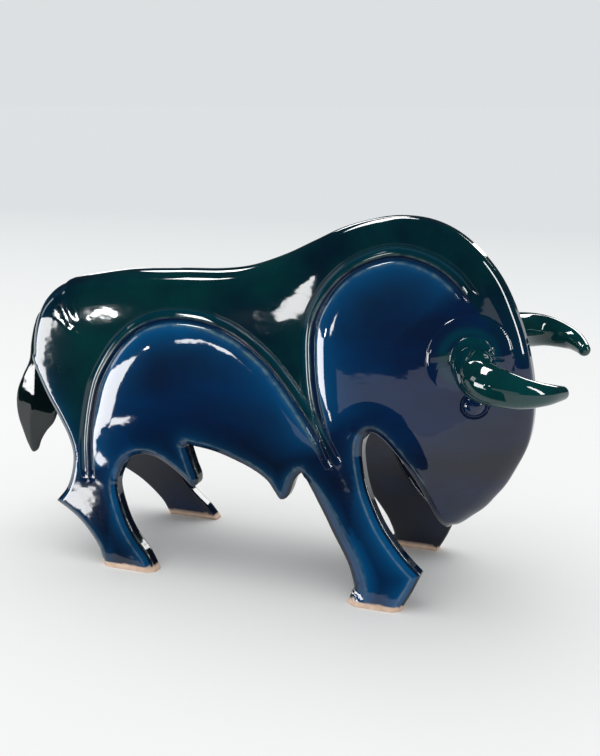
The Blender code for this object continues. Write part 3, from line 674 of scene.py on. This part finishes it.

# Painted shade: a darker blue near the rear edges of the legs and under the belly, on the bevel faces,
# and lower down the legs, but none above the channels.
hock = np.hypot(mm_x + 45, mm_z - 60) < 75
near_rear = np.where(hock, outer_gap, inner_gap)
painted_shade = most(np.exp(-near_rear / SHADE_REACH) * np.where(hind_leg & (mm_x > 4), 0.0, 1.0),
            0.85 * ease((bevel_line - gap) / 0.001) * (1 - ridge),
            0.40 * (1 - ramp(mm_z, (55, 110))) * (1 - glow))
painted_shade *= np.where(above, 0.0, 1.0)
wander = np.sin(co[:, 0] * 240) + 0.5 * np.sin(co[:, 0] * 610 + 1)
clay = ease((CLAY_BAND + CLAY_WANDER * wander - co[:, 2]) / CLAY_FADE)
painted = {"dark": dark * on_slab, "glow": glow * on_slab, "thin_glaze_and_highlight": thin_glaze_and_highlight * on_slab,
           "pool": pool * on_slab, "painted_shade": painted_shade * on_slab, "narrow": narrow * on_slab,
           "clay": clay, "horn": horn, "tail": tail_zone}
for name, values in painted.items():
    layer = mesh.attributes.new(name, "FLOAT", "POINT")
    layer.data.foreach_set("value", np.clip(values, 0, 1).astype(np.float32))

# Colours as red, green and blue; where there are two, clouds turn one into the other.
COBALT = (0.0045, 0.0062, 0.019), (0.0012, 0.022, 0.088)
BACK_GREEN = (0.0008, 0.011, 0.022), (0.0010, 0.036, 0.038)
HORN_TEAL = (0.0012, 0.024, 0.028), (0.0020, 0.060, 0.060)
TAIL_TEAL = (0.0018, 0.007, 0.008), (0.004, 0.020, 0.020)
BARE_CLAY = (0.72, 0.49, 0.35), (0.92, 0.68, 0.52)
# the darker blue of the painted shade
SHADE_BLUE = (0.0022, 0.0036, 0.0105)
BRIGHT_BLUE = (0.0022, 0.100, 0.27)
POOLED_TEAL = (0.0010, 0.050, 0.080)
NARROW_BLUE = (0.0010, 0.010, 0.034)
# pale green where the glaze breaks over edges, also used for the painted highlights
PALE_EDGE_AND_HIGHLIGHT = (0.22, 0.33, 0.28)

glaze = bpy.data.materials.new("glaze_blue_teal")
glaze.use_nodes = True
tree = glaze.node_tree
shader = tree.nodes["Principled BSDF"]
shader.inputs["IOR"].default_value = 1.55


def reading(name):
    """A value painted on the clay, as a socket."""
    node = tree.nodes.new("ShaderNodeAttribute")
    node.attribute_name = name
    return node.outputs["Fac"]


def clouds(scale, detail, stretch=(1, 1, 1)):
    """Cloudy noise over the bull's own coordinates, as a socket."""
    where = tree.nodes.new("ShaderNodeTexCoord")
    turn = tree.nodes.new("ShaderNodeMapping")
    turn.inputs["Scale"].default_value = stretch
    noise = tree.nodes.new("ShaderNodeTexNoise")
    noise.inputs["Scale"].default_value = scale
    noise.inputs["Detail"].default_value = detail
    tree.links.new(where.outputs["Object"], turn.inputs["Vector"])
    tree.links.new(turn.outputs["Vector"], noise.inputs["Vector"])
    return noise.outputs["Fac"]


def fit(value, low, high, to_low=0.0, to_high=1.0):
    """A value's range spread to another, kept within it."""
    node = tree.nodes.new("ShaderNodeMapRange")
    tree.links.new(value, node.inputs["Value"])
    for name, number in (("From Min", low), ("From Max", high), ("To Min", to_low), ("To Max", to_high)):
        node.inputs[name].default_value = number
    return node.outputs["Result"]


def times(a, b):
    """The product of two values."""
    node = tree.nodes.new("ShaderNodeMath")
    node.operation = "MULTIPLY"
    tree.links.new(a, node.inputs[0])
    if isinstance(b, float):
        node.inputs[1].default_value = b
    else:
        tree.links.new(b, node.inputs[1])
    return node.outputs["Value"]


def mixed(share, a, b):
    """Colour a turning to colour b by a share; each colour is a socket or red, green, blue."""
    node = tree.nodes.new("ShaderNodeMix")
    node.data_type = "RGBA"
    tree.links.new(share, node.inputs["Factor"])
    for socket, colour in (("A", a), ("B", b)):
        spot = [i for i in node.inputs if i.name == socket and i.type == "RGBA"][0]
        if isinstance(colour, tuple):
            spot.default_value = colour + (1.0,)
        else:
            tree.links.new(colour, spot)
    return [o for o in node.outputs if o.type == "RGBA"][0]


streaks = clouds(7.0, 6.0, (1.0, 1.0, 2.2))
patches = clouds(14.0, 4.0)
grain = clouds(160.0, 3.0)
cobalt = mixed(fit(streaks, 0.38, 0.68), *COBALT)
back = mixed(fit(patches, 0.4, 0.7), *BACK_GREEN)
horn_colour = mixed(fit(patches, 0.4, 0.65), *HORN_TEAL)
tail_colour = mixed(fit(patches, 0.4, 0.65), *TAIL_TEAL)
clay_colour = mixed(fit(grain, 0.3, 0.7), *BARE_CLAY)
# painted shade, varied by the patches
colour = mixed(times(reading("painted_shade"), fit(patches, 0.3, 0.7, 1.0, 0.6)), cobalt, SHADE_BLUE)
colour = mixed(reading("dark"), colour, back)
colour = mixed(times(reading("glow"), fit(patches, 0.3, 0.7, 0.35, 1.0)), colour, BRIGHT_BLUE)
colour = mixed(times(reading("pool"), fit(patches, 0.3, 0.7, 0.6, 1.0)), colour, POOLED_TEAL)
colour = mixed(times(reading("narrow"), 0.75), colour, NARROW_BLUE)
colour = mixed(reading("horn"), colour, horn_colour)
colour = mixed(reading("tail"), colour, tail_colour)
# pale edges and painted highlights, broken up by the grain
colour = mixed(times(reading("thin_glaze_and_highlight"), fit(grain, 0.35, 0.62, 0.10, 0.55)), colour, PALE_EDGE_AND_HIGHLIGHT)
colour = mixed(reading("clay"), colour, clay_colour)
tree.links.new(colour, shader.inputs["Base Color"])
tree.links.new(fit(reading("clay"), 0.0, 1.0, 0.045, 0.75), shader.inputs["Roughness"])
bump = tree.nodes.new("ShaderNodeBump")
bump.inputs["Strength"].default_value = 0.075
bump.inputs["Distance"].default_value = 0.002
tree.links.new(clouds(42.0, 2.0, (1.0, 1.0, 1.6)), bump.inputs["Height"])
tree.links.new(bump.outputs["Normal"], shader.inputs["Normal"])
bull.data.materials.clear()
bull.data.materials.append(glaze)
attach(bull, "root")
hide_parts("bull")


# The floor: a pale paper sweep under the bull, painted a little darker and cooler far behind it as
# painted shade for the light falling off. It is wide and plain, and only takes the shadow.
bpy.ops.mesh.primitive_plane_add(size=60, location=(0, 0, 0))
floor = bpy.context.object
floor.name = "floor"
paper = bpy.data.materials.new("floor_paper")
paper.use_nodes = True
sweep = paper.node_tree
matt = sweep.nodes["Principled BSDF"]
matt.inputs["Roughness"].default_value = 0.9
matt.inputs["Specular IOR Level"].default_value = 0.0
where = sweep.nodes.new("ShaderNodeTexCoord")
parts = sweep.nodes.new("ShaderNodeSeparateXYZ")
away = sweep.nodes.new("ShaderNodeMapRange")
away.inputs["From Min"].default_value = 0.25
away.inputs["From Max"].default_value = 2.4
# painted shade: the paper's colour darkens and cools with distance behind the bull
tint = sweep.nodes.new("ShaderNodeMix")
tint.data_type = "RGBA"
near_colour, far_colour = [i for i in tint.inputs if i.type == "RGBA"]
near_colour.default_value = (0.90, 0.89, 0.875, 1)
far_colour.default_value = (0.68, 0.695, 0.70, 1)
sweep.links.new(where.outputs["Object"], parts.inputs["Vector"])
sweep.links.new(parts.outputs["Y"], away.inputs["Value"])
sweep.links.new(away.outputs["Result"], tint.inputs["Factor"])
sweep.links.new([o for o in tint.outputs if o.type == "RGBA"][0], matt.inputs["Base Color"])
floor.data.materials.append(paper)


# The camera: it looks at the right flank from a little in front and above, as the photograph does.
# Its place and lens were worked out from features that both flanks share.
PHOTO_HEIGHT = 756            # pixels
FOCAL_LENGTH = 1098.934       # pixels
CAMERA_PLACE = (0.319328, -0.797392, 0.375461)
LOOKS_DOWN = 0.252853         # radians
TURNED_LEFT = 0.352943

camera = bpy.data.cameras.new("camera")
camera.sensor_width = 36.0
camera.sensor_fit = "AUTO"
camera.lens = FOCAL_LENGTH / PHOTO_HEIGHT * 36.0
camera.clip_start = 0.01
eye_point = bpy.data.objects.new("camera", camera)
bpy.context.scene.collection.objects.link(eye_point)
eye_point.location = CAMERA_PLACE
eye_point.rotation_euler = (math.pi / 2 - LOOKS_DOWN, 0, TURNED_LEFT)
bpy.context.scene.camera = eye_point
bpy.context.scene.view_settings.view_transform = "Standard"


# The studio: even daylight, a broad ceiling light, and soft boxes that show as white shapes in the
# glaze. Boxes and cards stand where the photograph's reflections come from.
PALE_SKY = (0.72, 0.745, 0.76, 1)

world = bpy.data.worlds.new("studio")
bpy.context.scene.world = world
world.use_nodes = True
sky = world.node_tree
shown = sky.nodes["Background"]
shown.inputs["Color"].default_value = PALE_SKY
shown.inputs["Strength"].default_value = 0.95
mirrored = sky.nodes.new("ShaderNodeBackground")
mirrored.inputs["Color"].default_value = (0.02, 0.022, 0.025, 1)
mirrored.inputs["Strength"].default_value = 1.0
seen = sky.nodes.new("ShaderNodeBackground")
seen.inputs["Color"].default_value = PALE_SKY
seen.inputs["Strength"].default_value = 1.0
ray = sky.nodes.new("ShaderNodeLightPath")
choice = sky.nodes.new("ShaderNodeMixShader")
sky.links.new(ray.outputs["Is Glossy Ray"], choice.inputs["Fac"])
sky.links.new(shown.outputs["Background"], choice.inputs[1])
sky.links.new(mirrored.outputs["Background"], choice.inputs[2])
last = sky.nodes.new("ShaderNodeMixShader")
sky.links.new(ray.outputs["Is Camera Ray"], last.inputs["Fac"])
sky.links.new(choice.outputs["Shader"], last.inputs[1])
sky.links.new(seen.outputs["Background"], last.inputs[2])
sky.links.new(last.outputs["Shader"], sky.nodes["World Output"].inputs["Surface"])


def soft_box(name, azimuth, elevation, distance, size, brightness, roll=0, aim=(0, 0, 0.13)):
    """A rectangular soft light seen from the bull at that direction, in degrees, and distance."""
    light = bpy.data.lights.new(name, "AREA")
    light.shape = "RECTANGLE"
    light.size, light.size_y = size
    light.energy = brightness * math.pi * size[0] * size[1]
    thing = bpy.data.objects.new(name, light)
    bpy.context.scene.collection.objects.link(thing)
    thing.visible_diffuse = False
    turn, rise = math.radians(azimuth), math.radians(elevation)
    way = Vector((math.cos(turn) * math.cos(rise), math.sin(turn) * math.cos(rise), math.sin(rise)))
    thing.location = Vector(aim) + way * distance
    facing = (-way).to_track_quat("-Z", "Y").to_matrix()
    thing.rotation_euler = (facing @ Matrix.Rotation(math.radians(roll), 3, "Z")).to_euler()


def panel(name, place_at, size, turn, colour, strength):
    """A flat card that only mirrored light sees."""
    bpy.ops.mesh.primitive_plane_add(size=1, location=place_at, rotation=turn)
    thing = bpy.context.object
    thing.name = name
    thing.scale = (size[0], size[1], 1)
    look = bpy.data.materials.new(name)
    look.use_nodes = True
    shader = look.node_tree.nodes["Principled BSDF"]
    shader.inputs["Base Color"].default_value = (0, 0, 0, 1)
    shader.inputs["Specular IOR Level"].default_value = 0
    shader.inputs["Emission Color"].default_value = colour + (1,)
    shader.inputs["Emission Strength"].default_value = strength
    thing.data.materials.append(look)
    for ray_kind in ("camera", "diffuse", "shadow", "transmission"):
        setattr(thing, "visible_" + ray_kind, False)


def card(name, place_at, size):
    """An upright pale card."""
    panel(name, place_at, size, (math.pi / 2, 0, 0), (0.75, 0.75, 0.80), 1.0)


soft_box("left_box", -143.3, 4.5, 1.3, (0.66, 0.42), 16)
soft_box("hock_box", -126.0, -5.0, 1.3, (0.12, 0.085), 16)
soft_box("wedge_box", -113.4, 18.5, 1.3, (0.095, 0.074), 16, 25)
soft_box("lamp", -126.5, 16.0, 1.3, (0.05, 0.035), 70)
soft_box("left_tall", -165, 22, 1.3, (0.3, 0.4), 4)
soft_box("right_strip", -4, 25, 1.4, (0.20, 0.9), 18)
soft_box("back_box", 118, 42, 1.5, (0.7, 0.22), 16)
soft_box("top_box", 152, 71, 1.4, (1.00, 0.32), 24)
soft_box("far_box", 125, 10, 1.6, (0.30, 0.22), 4)
soft_box("far_horn_box", 72, 22, 1.5, (0.30, 0.36), 10)
sun = bpy.data.lights.new("ceiling", "SUN")
sun.energy = 1.24
sun.angle = math.radians(75)
ceiling = bpy.data.objects.new("ceiling", sun)
bpy.context.scene.collection.objects.link(ceiling)
ceiling.rotation_euler = (math.radians(-8), math.radians(-14), 0)
ceiling.visible_glossy = False
card("chest_card", (-0.05, -1.0, 0.26), (0.42, 0.18))
card("head_card", (0.49, -1.0, 0.18), (0.70, 0.36))
panel("dark_card", (-14.8, -15.2, 0.001), (30.0, 30.0), (0, 0, 0), (0.01, 0.01, 0.012), 1.0)
